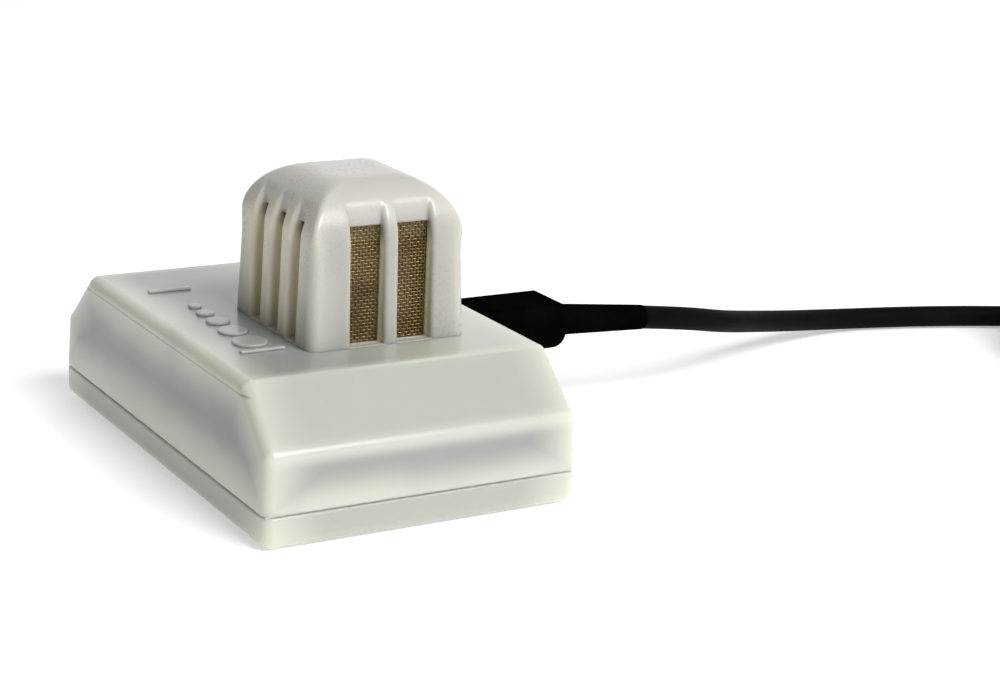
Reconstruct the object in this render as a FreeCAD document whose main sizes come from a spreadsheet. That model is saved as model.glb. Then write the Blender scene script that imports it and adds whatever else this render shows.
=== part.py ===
import FreeCAD, Part
import math
import os
import Sketcher
from FreeCAD import Vector, Placement, Rotation

# Soil moisture sensor: a sloped two-part housing, a vented cap with a woven
# screen round the sensing block, a circuit board, and a plug-in lead.
# Millimetres. +Z up, +Y along the housing's long side, +X towards the lead.

doc = FreeCAD.newDocument("SoilMoistureSensor")
sheet = doc.addObject("Spreadsheet::Sheet", "Dims")
ROW = [0]
VAL = {}


class Q:
    """A size that knows its number and the sheet expression it comes from."""

    def __init__(self, v, e):
        self.v = float(v)
        self.e = e

    def _join(self, o, op, rev=False):
        o = q(o)
        a, b = (o, self) if rev else (self, o)
        n = {"+": a.v + b.v, "-": a.v - b.v, "*": a.v * b.v, "/": a.v / b.v if b.v else 0.0}[op]
        return Q(n, "(%s %s %s)" % (a.e, op, b.e))

    def __add__(self, o):
        return self._join(o, "+")

    def __radd__(self, o):
        return self._join(o, "+", True)

    def __sub__(self, o):
        return self._join(o, "-")

    def __rsub__(self, o):
        return self._join(o, "-", True)

    def __mul__(self, o):
        return self._join(o, "*")

    def __rmul__(self, o):
        return self._join(o, "*", True)

    def __truediv__(self, o):
        return self._join(o, "/")

    def __neg__(self):
        return self._join(-1, "*")


def q(o):
    return o if isinstance(o, Q) else Q(o, "%.6f" % float(o))


def dim(alias, value):
    """One driving dimension: a plain number in the sheet with an alias."""
    ROW[0] += 1
    cell = "B%d" % ROW[0]
    sheet.set("A%d" % ROW[0], alias)
    sheet.set(cell, repr(float(value)))
    sheet.setAlias(cell, alias)
    VAL[alias] = float(value)
    return Q(value, "Dims." + alias)


# ---------------------------------------------------------------- dimensions
base_len = dim("base_len", 50.0)          # X
base_wid = dim("base_wid", 77.2)          # Y
top_z = dim("top_z", 21.8)
crease_z = dim("crease_z", 13.5)
seam_z = dim("seam_z", 4.9)
slope_in = dim("slope_in", 8.87)          # how far the top edge sits inside the crease
draft = dim("draft", 0.0327)
wall = dim("wall", 2.0)
corner_rad = dim("corner_rad", 1.7)
top_rad = dim("top_rad", 1.9)
hollow_drop = dim("hollow_drop", 0.87)    # how far the inner crease sits under the outer one
hollow_in = dim("hollow_in", 0.79)        # how far the inner roof edge sits inside the outer one
cap_xa = dim("cap_xa", -10.25)
cap_xb = dim("cap_xb", 15.4)
cap_ya = dim("cap_ya", -21.1)
cap_yb = dim("cap_yb", 5.3)
cap_top = dim("cap_top", 45.4)
cap_draft = dim("cap_draft", 0.035)
cap_rad_x = dim("cap_rad_x", 8.5)
cap_rad_y = dim("cap_rad_y", 8.5)
cav_xa = dim("cav_xa", -7.6)
cav_xb = dim("cav_xb", 12.75)
cav_ya = dim("cav_ya", -18.45)
cav_yb = dim("cav_yb", 2.65)
cav_top = dim("cav_top", 39.1)
collar_low = dim("collar_low", 17.3)
flange_low = dim("flange_low", 15.8)
wide_a0 = dim("wide_a0", -3.5)
wide_a1 = dim("wide_a1", 1.9)
wide_b0 = dim("wide_b0", 4.15)
wide_b1 = dim("wide_b1", 9.6)
side_slot = dim("side_slot", 3.0)
side_pitch = dim("side_pitch", 6.1)
side_mid = dim("side_mid", -8.2)
slot_lip = dim("slot_lip", 0.35)           # how far a slot stays short of the screen above the screen's top
mesh_t = dim("mesh_t", 0.3)
board_z = dim("board_z", 9.6)
board_t = dim("board_t", 1.6)
lead_z = dim("lead_z", 15.5)              # height of the lead where it leaves the plug
boot_wid = dim("boot_wid", 10.5)
boot_low = dim("boot_low", 12.3)
boot_high = dim("boot_high", 19.3)
boot_xa = dim("boot_xa", 24.8)
boot_xb = dim("boot_xb", 43.6)
nose_wid = dim("nose_wid", 8.4)
nose_high = dim("nose_high", 5.2)
nose_xa = dim("nose_xa", 18.6)
cable_d = dim("cable_d", 3.9)
relief_d = dim("relief_d", 5.0)
coil_x = dim("coil_x", 166.0)
coil_y = dim("coil_y", -27.0)
coil_mid = dim("coil_mid", 22.0)
coil_low = dim("coil_low", 0.6)
coil_rows = dim("coil_rows", 4)            # turns one above another in the coil
jack_x = dim("jack_x", 159.4)
jack_y = dim("jack_y", -64.2)
jack_z = dim("jack_z", 4.5)
screw_x = dim("screw_x", 19.2)
screw_y = dim("screw_y", 30.0)
doc.recompute()

NODES = []


def bind(obj, prop, size):
    size = q(size)
    obj.setExpression(prop, size.e)


def place(obj, x=0, y=0, z=0, axis=None, angle=0):
    """Bind an object's placement to the sheet; axis turns its own Z."""
    if axis is not None:
        obj.Placement = Placement(Vector(0, 0, 0), Rotation(Vector(*axis), angle))
    for k, s in (("x", x), ("y", y), ("z", z)):
        bind(obj, "Placement.Base." + k, s)
    return obj


def box(name, x0, x1, y0, y1, z0, z1):
    o = doc.addObject("Part::Box", name)
    x0, x1, y0, y1, z0, z1 = (q(v) for v in (x0, x1, y0, y1, z0, z1))
    bind(o, "Length", x1 - x0)
    bind(o, "Width", y1 - y0)
    bind(o, "Height", z1 - z0)
    return place(o, x0, y0, z0)


TURN = {"x": ((0, 1, 0), 90), "-x": ((0, 1, 0), -90), "y": ((1, 0, 0), -90), "-y": ((1, 0, 0), 90), "z": (None, 0)}


def cyl(name, x, y, z, rad, length, along="z"):
    o = doc.addObject("Part::Cylinder", name)
    bind(o, "Radius", rad)
    bind(o, "Height", length)
    ax, an = TURN[along]
    return place(o, x, y, z, ax, an)


def cone(name, x, y, z, ra, rb, length, along="z"):
    o = doc.addObject("Part::Cone", name)
    bind(o, "Radius1", ra)
    bind(o, "Radius2", rb)
    bind(o, "Height", length)
    ax, an = TURN[along]
    return place(o, x, y, z, ax, an)


def fuse(name, *parts):
    o = doc.addObject("Part::MultiFuse", name)
    o.Shapes = list(parts)
    o.Refine = True
    return o


def cut(name, base, *tools):
    o = doc.addObject("Part::Cut", name)
    o.Base = base
    if len(tools) == 1:
        o.Tool = tools[0]
    else:
        o.Tool = fuse(name + "_tools", *tools)
    o.Refine = True
    return o


def common(name, a, b):
    o = doc.addObject("Part::Common", name)
    o.Base = a
    o.Tool = b
    return o


def group(name, parts):
    """Separate identical solids kept as one node."""
    o = doc.addObject("Part::Compound", name)
    o.Links = list(parts)
    return o


def node(obj, label):
    obj.Label = label
    NODES.append(obj)
    return obj


def edges_where(shape, test):
    out = []
    for i, e in enumerate(shape.Edges):
        p = e.valueAt((e.FirstParameter + e.LastParameter) / 2.0)
        try:
            d = e.tangentAt((e.FirstParameter + e.LastParameter) / 2.0)
        except NotImplementedError:        # an edge shrunk to a point has no tangent
            continue
        if test(p, d, e):
            out.append(i + 1)
    return out


def soften(name, base, rad, test):
    """Part fillet on the edges that pass the test."""
    doc.recompute()
    o = doc.addObject("Part::Fillet", name)
    o.Base = base
    ids = edges_where(base.Shape, test)
    o.Edges = [(i, q(rad).v, q(rad).v) for i in ids]
    doc.recompute()
    if o.Shape.isNull() or not o.Shape.isValid() or not ids:
        print("fillet", name, "left off", len(ids))
        doc.removeObject(o.Name)
        return base
    return o


# ------------------------------------------------------------ sketched bodies
def origin_plane(body, role):
    for f in body.Origin.OriginFeatures:
        if f.Role == role:
            return f


def outline(body, name, role, loops, offset=0):
    """A sketch of closed straight-sided loops, every corner set from the sheet."""
    sk = body.newObject("Sketcher::SketchObject", name)
    sk.AttachmentSupport = [(origin_plane(body, role), "")]
    sk.MapMode = "FlatFace"
    if not (isinstance(offset, (int, float)) and offset == 0):
        sk.setExpression("AttachmentOffset.Base.z", q(offset).e)
    for pts in loops:
        pts = [(q(a), q(b)) for a, b in pts]
        first = sk.GeometryCount
        n = len(pts)
        for i in range(n):
            a, b = pts[i], pts[(i + 1) % n]
            sk.addGeometry(Part.LineSegment(Vector(a[0].v, a[1].v, 0), Vector(b[0].v, b[1].v, 0)), False)
        for i in range(n):
            sk.addConstraint(Sketcher.Constraint("Coincident", first + i, 2, first + (i + 1) % n, 1))
        for i in range(n):
            for kind, s in (("DistanceX", pts[i][0]), ("DistanceY", pts[i][1])):
                c = sk.addConstraint(Sketcher.Constraint(kind, -1, 1, first + i, 1, s.v))
                if "Dims" in s.e:
                    sk.setExpression("Constraints[%d]" % c, s.e)
    return sk


def circles(body, name, role, pts, rad, offset=0):
    """A sketch of equal circles, centres and radius set from the sheet."""
    sk = body.newObject("Sketcher::SketchObject", name)
    sk.AttachmentSupport = [(origin_plane(body, role), "")]
    sk.MapMode = "FlatFace"
    if not (isinstance(offset, (int, float)) and offset == 0):
        sk.setExpression("AttachmentOffset.Base.z", q(offset).e)
    for a, b in pts:
        a, b = q(a), q(b)
        g = sk.addGeometry(Part.Circle(Vector(a.v, b.v, 0), Vector(0, 0, 1), q(rad).v), False)
        for kind, s in (("DistanceX", a), ("DistanceY", b)):
            c = sk.addConstraint(Sketcher.Constraint(kind, -1, 1, g, 3, s.v))
            if "Dims" in s.e:
                sk.setExpression("Constraints[%d]" % c, s.e)
        c = sk.addConstraint(Sketcher.Constraint("Radius", g, q(rad).v))
        if "Dims" in q(rad).e:
            sk.setExpression("Constraints[%d]" % c, q(rad).e)
    return sk


def new_body(name):
    return doc.addObject("PartDesign::Body", name)


def pad(body, sk, length, mid=False, rev=False):
    f = body.newObject("PartDesign::Pad", sk.Name + "_pad")
    f.Profile = sk
    bind(f, "Length", length)
    f.Midplane = mid
    f.Reversed = rev
    return f


def pocket(body, sk, length=None, mid=False, rev=False):
    f = body.newObject("PartDesign::Pocket", sk.Name + "_pocket")
    f.Profile = sk
    if length is None:
        f.Type = 1
    else:
        bind(f, "Length", length)
    f.Midplane = mid
    f.Reversed = rev
    return f


def removed(body, before, what):
    doc.recompute()
    after = body.Shape.Volume
    if not after < before - 0.01:
        print("WARNING nothing removed by", what, before, after)
    return after


def body_fillet(body, rad, test, name):
    doc.recompute()
    tip = body.Tip
    ids = edges_where(tip.Shape, test)
    f = body.newObject("PartDesign::Fillet", name)
    f.Base = (tip, ["Edge%d" % i for i in ids])
    bind(f, "Radius", rad)
    doc.recompute()
    if f.Shape.isNull() or not f.Shape.isValid() or "Invalid" in f.State:
        print("body fillet", name, "left off", len(ids))
        body.removeObject(f)
        doc.removeObject(f.Name)
        body.Tip = tip
        doc.recompute()
    return f


hx = base_len / 2
hy = base_wid / 2
seam_gap = dim("seam_gap", 0.2)
low_z = seam_z + seam_gap / 2             # lower rim of the upper shell
# half sizes after the draft, at a height
dx_top = draft * (top_z - seam_z)
dy_crease = draft * (crease_z - seam_z)

# ------------------------------------------------------------- upper housing
hb = new_body("HousingBody")
s1 = outline(hb, "housing_profile", "YZ_Plane", [[
    (-hy, low_z), (hy, low_z), (hy - dy_crease, crease_z), (hy - dy_crease - slope_in, top_z),
    (-hy + dy_crease + slope_in, top_z), (-hy + dy_crease, crease_z)]])
pad(hb, s1, base_len, mid=True)
doc.recompute()
v = hb.Shape.Volume
# the two end walls lean in by the draft
s2 = outline(hb, "housing_end_draft", "XZ_Plane", [
    [(hx, low_z), (hx + 5, low_z - 1), (hx + 5, top_z + 5), (hx - dx_top - draft * 5, top_z + 5), (hx - dx_top, top_z)],
    [(-hx, low_z), (-hx - 5, low_z - 1), (-hx - 5, top_z + 5), (-hx + dx_top + draft * 5, top_z + 5), (-hx + dx_top, top_z)]])
pocket(hb, s2, None, mid=True)
v = removed(hb, v, "end draft")
# the hollow keeps the wall square to every face
in_y = hy - dy_crease - wall
sh = outline(hb, "housing_hollow", "YZ_Plane", [[
    (-(hy - wall), low_z - 2), (hy - wall, low_z - 2), (in_y, crease_z - hollow_drop), (in_y - slope_in + wall - hollow_in, top_z - wall),
    (-(in_y - slope_in + wall - hollow_in), top_z - wall), (-in_y, crease_z - hollow_drop)]])
pocket(hb, sh, base_len - wall * 2 - dx_top * 2, mid=True)
v = removed(hb, v, "shell")

X0 = hx.v


def housing_corner(p, d, e):
    # outer near-vertical corner edges, and the sloped edges above them
    out = abs(p.x) > X0 - 1.2 and e.Length > 4
    return out and abs(d.x) < 0.2 and p.z > low_z.v + 0.5 and not (abs(d.y) > 0.95)


body_fillet(hb, corner_rad, lambda p, d, e: housing_corner(p, d, e) and p.z < crease_z.v, "housing_corners")


def housing_top(p, d, e):
    return abs(p.x) > X0 - 2.6 and p.z > crease_z.v + 0.5 and e.Length > 4 and p.z < top_z.v + 0.1 and (
        abs(p.x) > X0 - 1.1)


body_fillet(hb, top_rad, housing_top, "housing_top_edges")


def housing_bends(p, d, e):
    on_crease = abs(p.z - crease_z.v) < 0.05 and abs(abs(p.y) - (hy - dy_crease).v) < 0.05
    on_top = abs(p.z - top_z.v) < 0.05 and abs(abs(p.y) - (hy - dy_crease - slope_in).v) < 0.05
    return (on_crease or on_top) and abs(d.x) > 0.99


body_fillet(hb, 0.8, housing_bends, "housing_bends")
body_fillet(hb, 0.3, lambda p, d, e: abs(p.z - low_z.v) < 0.01 and (abs(p.x) > X0 - 1.0 or abs(p.y) > hy.v - 1.0), "housing_rim_edge")

# rim round the cap opening and four screw pads, hanging from the roof
roof_in = top_z - wall
s3 = outline(hb, "cap_rim", "XY_Plane", [[
    (cap_xa - 1.9, cap_ya - 1.9), (cap_xb + 1.9, cap_ya - 1.9), (cap_xb + 1.9, cap_yb + 1.9), (cap_xa - 1.9, cap_yb + 1.9)]],
    offset=collar_low + 0.5)
pad(hb, s3, roof_in - collar_low - 0.4)
ears = [(-5.0, cap_ya - 3.8), (10.2, cap_ya - 3.8), (-5.0, cap_yb + 3.8), (10.2, cap_yb + 3.8)]
s4 = circles(hb, "cap_pads", "XY_Plane", ears, 2.3, offset=collar_low + 0.5)
pad(hb, s4, roof_in - collar_low - 0.4)
posts = [(screw_x, screw_y), (-screw_x, screw_y), (screw_x, -screw_y), (-screw_x, -screw_y)]
s5 = circles(hb, "screw_bosses", "XY_Plane", posts, 2.7, offset=6.6)
pad(hb, s5, 12.0)
doc.recompute()
v = hb.Shape.Volume
s6 = outline(hb, "cap_opening", "XY_Plane", [[
    (cap_xa - 0.05, cap_ya - 0.05), (cap_xb + 0.05, cap_ya - 0.05), (cap_xb + 0.05, cap_yb + 0.05), (cap_xa - 0.05, cap_yb + 0.05)]],
    offset=30)
pocket(hb, s6, 16)
v = removed(hb, v, "cap opening")
body_fillet(hb, 1.7, lambda p, d, e: abs(d.z) > 0.9 and abs(abs(p.x - (cap_xa.v + cap_xb.v) / 2) - (cap_xb.v - cap_xa.v) / 2) < 0.3
            and abs(abs(p.y - (cap_ya.v + cap_yb.v) / 2) - (cap_yb.v - cap_ya.v) / 2) < 0.3, "opening_corners")
s7 = outline(hb, "plug_opening", "YZ_Plane", [[
    (-nose_wid / 2 - 0.4, lead_z + 0.4 - nose_high / 2 - 0.4), (nose_wid / 2 + 0.4, lead_z + 0.4 - nose_high / 2 - 0.4),
    (nose_wid / 2 + 0.4, lead_z + 0.4 + nose_high / 2 + 0.4), (-nose_wid / 2 - 0.4, lead_z + 0.4 + nose_high / 2 + 0.4)]],
    offset=22.0)
pocket(hb, s7, 6, rev=True)
v = removed(hb, v, "plug opening")
s8 = circles(hb, "boss_pilots", "XY_Plane", posts, 1.1, offset=6.0)
pocket(hb, s8, 10.5, rev=True)
v = removed(hb, v, "boss pilots")
s9 = circles(hb, "pad_pilots", "XY_Plane", ears, 0.8, offset=collar_low)
pocket(hb, s9, 3.4, rev=True)
v = removed(hb, v, "pad pilots")
node(hb, "top_housing")

# ---------------------------------------------------------------- base plate
bb = new_body("BaseBody")
rim_z = seam_z - seam_gap / 2
t1 = outline(bb, "base_outline", "XY_Plane", [[(-hx, -hy), (hx, -hy), (hx, hy), (-hx, hy)]])
pad(bb, t1, rim_z)
body_fillet(bb, corner_rad, lambda p, d, e: abs(d.z) > 0.9 or p.z < 0.01, "base_soft_edges")
body_fillet(bb, 0.3, lambda p, d, e: abs(p.z - rim_z.v) < 0.01, "base_rim_edge")
doc.recompute()
v = bb.Shape.Volume
t2 = outline(bb, "base_hollow", "XY_Plane", [[(-hx + wall, -hy + wall), (hx - wall, -hy + wall),
                                             (hx - wall, hy - wall), (-hx + wall, hy - wall)]], offset=2.0)
pocket(bb, t2, 10, rev=True)
v = removed(bb, v, "base hollow")
t3 = circles(bb, "base_posts", "XY_Plane", posts, 3.0, offset=1.9)
pad(bb, t3, 4.7)
bp = [(-13.0, 23.0), (18.0, 23.0), (-13.0, -23.0), (18.0, -23.0)]
t4 = circles(bb, "board_posts", "XY_Plane", bp, 2.4, offset=1.9)
pad(bb, t4, board_z - 1.9)
# upstand that locates inside the upper shell
lip_x = hx - wall - dx_top - 0.25
t5 = outline(bb, "base_lip", "XY_Plane", [
    [(-lip_x, -hy + wall + 0.3), (lip_x, -hy + wall + 0.3), (lip_x, hy - wall - 0.3), (-lip_x, hy - wall - 0.3)],
    [(-lip_x + 1.2, -hy + wall + 1.5), (lip_x - 1.2, -hy + wall + 1.5), (lip_x - 1.2, hy - wall - 1.5), (-lip_x + 1.2, hy - wall - 1.5)]],
    offset=1.9)
pad(bb, t5, 4.4)
doc.recompute()
v = bb.Shape.Volume
t6 = circles(bb, "screw_clear", "XY_Plane", posts, 1.45, offset=-1)
pocket(bb, t6, 12, rev=True)
v = removed(bb, v, "screw clearance")
t7 = circles(bb, "screw_sinks", "XY_Plane", posts, 2.6, offset=-1)
pocket(bb, t7, 3.2, rev=True)
v = removed(bb, v, "screw sinks")
t8 = circles(bb, "board_pilots", "XY_Plane", bp, 0.8, offset=board_z - 5)
pocket(bb, t8, 8, rev=True)
v = removed(bb, v, "board pilots")
node(bb, "base_plate")

# gasket in the seam, set back so that it reads as a fine dark line
g0 = box("gasket_out", -hx + 0.5, hx - 0.5, -hy + 0.5, hy - 0.5, rim_z, low_z)
g1 = box("gasket_in", -hx + wall - 0.1, hx - wall + 0.1, -hy + wall - 0.1, hy - wall + 0.1, rim_z - 1, low_z + 1)
gk = cut("gasket_ring", g0, g1)
node(gk, "housing_gasket")


def screw(name, x, y, z_head, head_r, head_h, shank_r, length, up=True):
    """A pan-head screw with a cross recess, head at z_head, shank going up or down."""
    x, y, z_head = q(x), q(y), q(z_head)
    if up:
        hd = cyl(name + "_head", x, y, z_head - head_h, head_r, head_h)
        sh = cyl(name + "_shank", x, y, z_head, shank_r, length - 1.0)
        tp = cone(name + "_point", x, y, z_head + length - 1.0, shank_r, shank_r * 0.35, 1.0)
        r1 = box(name + "_r1", x - head_r * 0.55, x + head_r * 0.55, y - 0.25, y + 0.25, z_head - head_h - 1, z_head - head_h * 0.45)
        r2 = box(name + "_r2", x - 0.25, x + 0.25, y - head_r * 0.55, y + head_r * 0.55, z_head - head_h - 1, z_head - head_h * 0.45)
    else:
        hd = cyl(name + "_head", x, y, z_head, head_r, head_h)
        sh = cyl(name + "_shank", x, y, z_head - (length - 1.0), shank_r, length - 1.0)
        tp = cone(name + "_point", x, y, z_head - length, shank_r * 0.35, shank_r, 1.0)
        r1 = box(name + "_r1", x - head_r * 0.55, x + head_r * 0.55, y - 0.25, y + 0.25, z_head + head_h * 0.45, z_head + head_h + 1)
        r2 = box(name + "_r2", x - 0.25, x + 0.25, y - head_r * 0.55, y + head_r * 0.55, z_head + head_h * 0.45, z_head + head_h + 1)
    return cut(name, fuse(name + "_blank", hd, sh, tp), r1, r2)


node(group("housing_screw_set", [screw("hscrew%d" % i, x, y, 2.2, 2.3, 1.5, 1.1, 13.2) for i, (x, y) in enumerate(posts)]), "housing_screws")

# ---------------------------------------------------------------- vented cap
px = new_body("CapEndProfile")
u1 = outline(px, "cap_end_profile", "XZ_Plane", [[
    (cap_xa, top_z), (cap_xb, top_z), (cap_xb - cap_draft * (cap_top - top_z), cap_top),
    (cap_xa + cap_draft * (cap_top - top_z), cap_top)]])
pad(px, u1, 90, mid=True)
body_fillet(px, cap_rad_x, lambda p, d, e: abs(p.z - cap_top.v) < 0.01 and abs(d.y) > 0.99, "cap_end_round")
py = new_body("CapSideProfile")
u2 = outline(py, "cap_side_profile", "YZ_Plane", [[
    (cap_ya, top_z), (cap_yb, top_z), (cap_yb - cap_draft * (cap_top - top_z), cap_top),
    (cap_ya + cap_draft * (cap_top - top_z), cap_top)]])
pad(py, u2, 90, mid=True)
body_fillet(py, cap_rad_y, lambda p, d, e: abs(p.z - cap_top.v) < 0.01 and abs(d.x) > 0.99, "cap_side_round")
dome = common("cap_dome", px, py)
doc.recompute()


def dome_corner(p, d, e):
    return abs(d.z) > 0.9 and e.Length > 2


dome = soften("cap_corners", dome, 1.7, dome_corner)
collar = box("cap_collar", cap_xa + 0.1, cap_xb - 0.1, cap_ya + 0.1, cap_yb - 0.1, collar_low - 0.2, top_z + 0.2)
collar = soften("cap_collar_corners", collar, 1.7, lambda p, d, e: abs(d.z) > 0.9)
flange = box("cap_flange", cap_xa - 1.7, cap_xb + 1.7, cap_ya - 1.7, cap_yb + 1.7, flange_low, collar_low)
lugs = []
for i, (x, y) in enumerate(ears):
    lugs.append(cyl("cap_lug%d" % i, x, y, flange_low, 2.3, collar_low - flange_low))
blank = fuse("cap_blank", dome, collar, flange, *lugs)
tools = [box("cap_cavity", cav_xa, cav_xb, cav_ya, cav_yb, 10, cav_top)]
for k, (a, b) in enumerate(((wide_a0, wide_a1), (wide_b0, wide_b1))):
    tools.append(box("front_slot%d" % k, a, b, -40, cav_ya - slot_lip, top_z, 60))
    tools.append(box("back_slot%d" % k, a, b, cav_yb + slot_lip, 40, top_z, 60))
    tools.append(box("front_window%d" % k, a, b, -40, cav_ya + 0.1, top_z, cav_top))
    tools.append(box("back_window%d" % k, a, b, cav_yb - 0.1, 40, top_z, cav_top))
for k in (-1, 0, 1):
    c = side_mid + side_pitch * k
    tools.append(box("left_slot%d" % (k + 1), -40, cav_xa - slot_lip, c - side_slot / 2, c + side_slot / 2, top_z, 60))
    tools.append(box("right_slot%d" % (k + 1), cav_xb + slot_lip, 40, c - side_slot / 2, c + side_slot / 2, top_z, 60))
    tools.append(box("left_window%d" % (k + 1), -40, cav_xa + 0.1, c - side_slot / 2, c + side_slot / 2, top_z, cav_top))
    tools.append(box("right_window%d" % (k + 1), cav_xb - 0.1, 40, c - side_slot / 2, c + side_slot / 2, top_z, cav_top))
for i, (x, y) in enumerate(ears):
    tools.append(cyl("lug_hole%d" % i, x, y, flange_low - 1, 1.1, 5))
capped = cut("cap_cut", blank, *tools)
node(capped, "vented_cap")

# seal between the cap's flange and the rim, 0.5 thick
c0 = box("cap_seal_out", cap_xa - 1.7, cap_xb + 1.7, cap_ya - 1.7, cap_yb + 1.7, collar_low, collar_low + 0.5)
c1 = box("cap_seal_in", cap_xa - 0.1, cap_xb + 0.1, cap_ya - 0.1, cap_yb + 0.1, collar_low - 1, collar_low + 2)
node(cut("cap_seal_ring", c0, c1), "cap_gasket")

# ----------------------------------------------- screen, cage, sensing block
m0 = box("mesh_out", cav_xa + 0.05, cav_xb - 0.05, cav_ya + 0.05, cav_yb - 0.05, 18.0, cav_top - 0.1)
m1 = box("mesh_in", cav_xa + 0.05 + mesh_t, cav_xb - 0.05 - mesh_t, cav_ya + 0.05 + mesh_t, cav_yb - 0.05 - mesh_t, 17.0, 60)
node(cut("mesh_tube", m0, m1), "mesh_screen")
k0 = box("cage_out", cav_xa + 0.4, cav_xb - 0.4, cav_ya + 0.4, cav_yb - 0.4, 18.0, cav_top - 0.1)
k1 = box("cage_in", cav_xa + 1.6, cav_xb - 1.6, cav_ya + 1.6, cav_yb - 1.6, 17.0, cav_top - 1.3)
k2 = box("cage_window_x", cav_xa - 2, cav_xb + 2, cav_ya + 2.4, cav_yb - 2.4, 20.0, cav_top - 2.4)
k3 = box("cage_window_y", cav_xa + 2.4, cav_xb - 2.4, cav_ya - 2, cav_yb + 2, 20.0, cav_top - 2.4)
node(cut("cage", k0, k1, k2, k3), "screen_cage")

mid_x = (cav_xa + cav_xb) / 2
mid_y = (cav_ya + cav_yb) / 2
carrier_low = flange_low - 1.5
e0 = box("carrier_plate", -8.3, 13.5, cap_ya - 6.0, cap_yb + 6.0, carrier_low, flange_low)
e1 = box("carrier_step", cav_xa + 0.1, cav_xb - 0.1, cav_ya + 0.1, cav_yb - 0.1, flange_low - 0.1, 18.0)
rods = [(mid_x - 3.5, mid_y), (mid_x + 3.5, mid_y)]
holes = [cyl("carrier_rod_hole%d" % i, x, y, 10, 0.8, 12) for i, (x, y) in enumerate(rods)]
holes += [cyl("carrier_screw_hole%d" % i, x, y, 10, 1.1, 12) for i, (x, y) in enumerate(ears)]
holes.append(cyl("carrier_bead_hole", mid_x, mid_y + 8.2, 10, 0.35, 12))
node(cut("carrier", fuse("carrier_blank", e0, e1), *holes), "element_carrier")
b0 = box("block_blank", mid_x - 7, mid_x + 7, mid_y - 7, mid_y + 7, 18.0, 36.5)
b0 = soften("block_soft", b0, 1.0, lambda p, d, e: abs(d.z) > 0.9 or p.z > 36.4)
node(cut("block", b0, *[cyl("block_hole%d" % i, x, y, 17, 0.8, 17.0) for i, (x, y) in enumerate(rods)]), "sensing_block")
node(group("rods", [cyl("rod%d" % i, x, y, 11.8, 0.75, 22.0) for i, (x, y) in enumerate(rods)]), "electrode_rods")
th0 = cyl("bead_stem", mid_x, mid_y + 8.2, 12.4, 0.3, 12.2)
th1 = doc.addObject("Part::Ellipsoid", "bead_glass")
for prop, s in (("Radius1", 1.3), ("Radius2", 0.8), ("Radius3", 0.8)):
    bind(th1, prop, s)
place(th1, mid_x, mid_y + 8.2, 25.2)
node(fuse("bead", th0, th1), "temperature_bead")
node(group("cap_screw_set", [screw("cscrew%d" % i, x, y, carrier_low, 1.9, 1.2, 0.8, 6.2) for i, (x, y) in enumerate(ears)]), "cap_screws")

# --------------------------------------------------------------- main board
brd = box("board_blank", -16.8, 22.1, -26.6, 26.6, board_z, board_z + board_t)
bt = board_z + board_t
holes = [cyl("board_hole%d" % i, x, y, 5, 1.1, 10) for i, (x, y) in enumerate(bp)]
brd = soften("board_round", brd, 1.5, lambda p, d, e: abs(d.z) > 0.9)
node(cut("board", brd, *holes), "main_board")
node(group("board_screw_set", [screw("bscrew%d" % i, x, y, bt, 1.9, 1.2, 0.8, 5.6, up=False) for i, (x, y) in enumerate(bp)]), "board_screws")
# header that takes the electrode rods and the bead's stem
j0 = box("header_blank", mid_x - 5.6, mid_x + 5.6, mid_y - 1.5, mid_y + 9.4, bt, 13.6)
node(cut("header", j0, *([cyl("header_hole%d" % i, x, y, 11.7, 0.78, 5) for i, (x, y) in enumerate(rods)]
                         + [cyl("header_bead_hole", mid_x, mid_y + 8.2, 12.3, 0.33, 5)])), "board_header")


def chip(name, xa, xb, ya, yb, high, legs_y, n, pitch):
    """A flat package with gull legs along two sides."""
    parts = [box(name + "_case", xa, xb, ya, yb, bt + 0.1, bt + high)]
    xm = (xa + xb) / 2.0
    for i in range(n):
        x = xm + (i - (n - 1) / 2.0) * pitch
        for s, y in ((-1, ya), (1, yb)):
            y0, y1 = (y - legs_y, y + 0.2) if s < 0 else (y - 0.2, y + legs_y)
            parts.append(box("%s_leg%d%s" % (name, i, "a" if s < 0 else "b"), x - 0.15, x + 0.15, y0, y1, bt, bt + 0.35))
    return fuse(name, *parts)


node(chip("ctrl", -11.5, -4.5, 13.0, 20.0, 1.1, 0.9, 8, 0.8), "controller_chip")
node(chip("amp", 5.0, 10.0, 14.0, 18.0, 1.6, 1.0, 4, 1.27), "amplifier_chip")
x0 = box("crystal_blank", -1.5, 1.8, 14.0, 24.5, bt, bt + 3.0)
node(soften("crystal_can", x0, 1.4, lambda p, d, e: abs(d.z) > 0.9), "timing_crystal")
caps_at = [(13.4, 15.0), (13.4, 20.9)]
node(group("cap_set", [soften("cap_can%d" % i, cyl("cap_can_blank%d" % i, x, y, bt, 2.5, 5.4), 0.4,
                              lambda p, d, e: p.z > 16.0) for i, (x, y) in enumerate(caps_at)]), "smoothing_capacitors")
res = []
for i in range(6):
    res.append(box("res%d" % i, -12.0 + 2.6 * i, -10.4 + 2.6 * i, 9.4, 10.2, bt, bt + 0.5))
for i in range(4):
    res.append(box("resb%d" % i, 15.6, 16.4, -20.5 + 3.0 * i, -18.9 + 3.0 * i, bt, bt + 0.5))
node(group("resistor_set", res), "chip_resistors")

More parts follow.
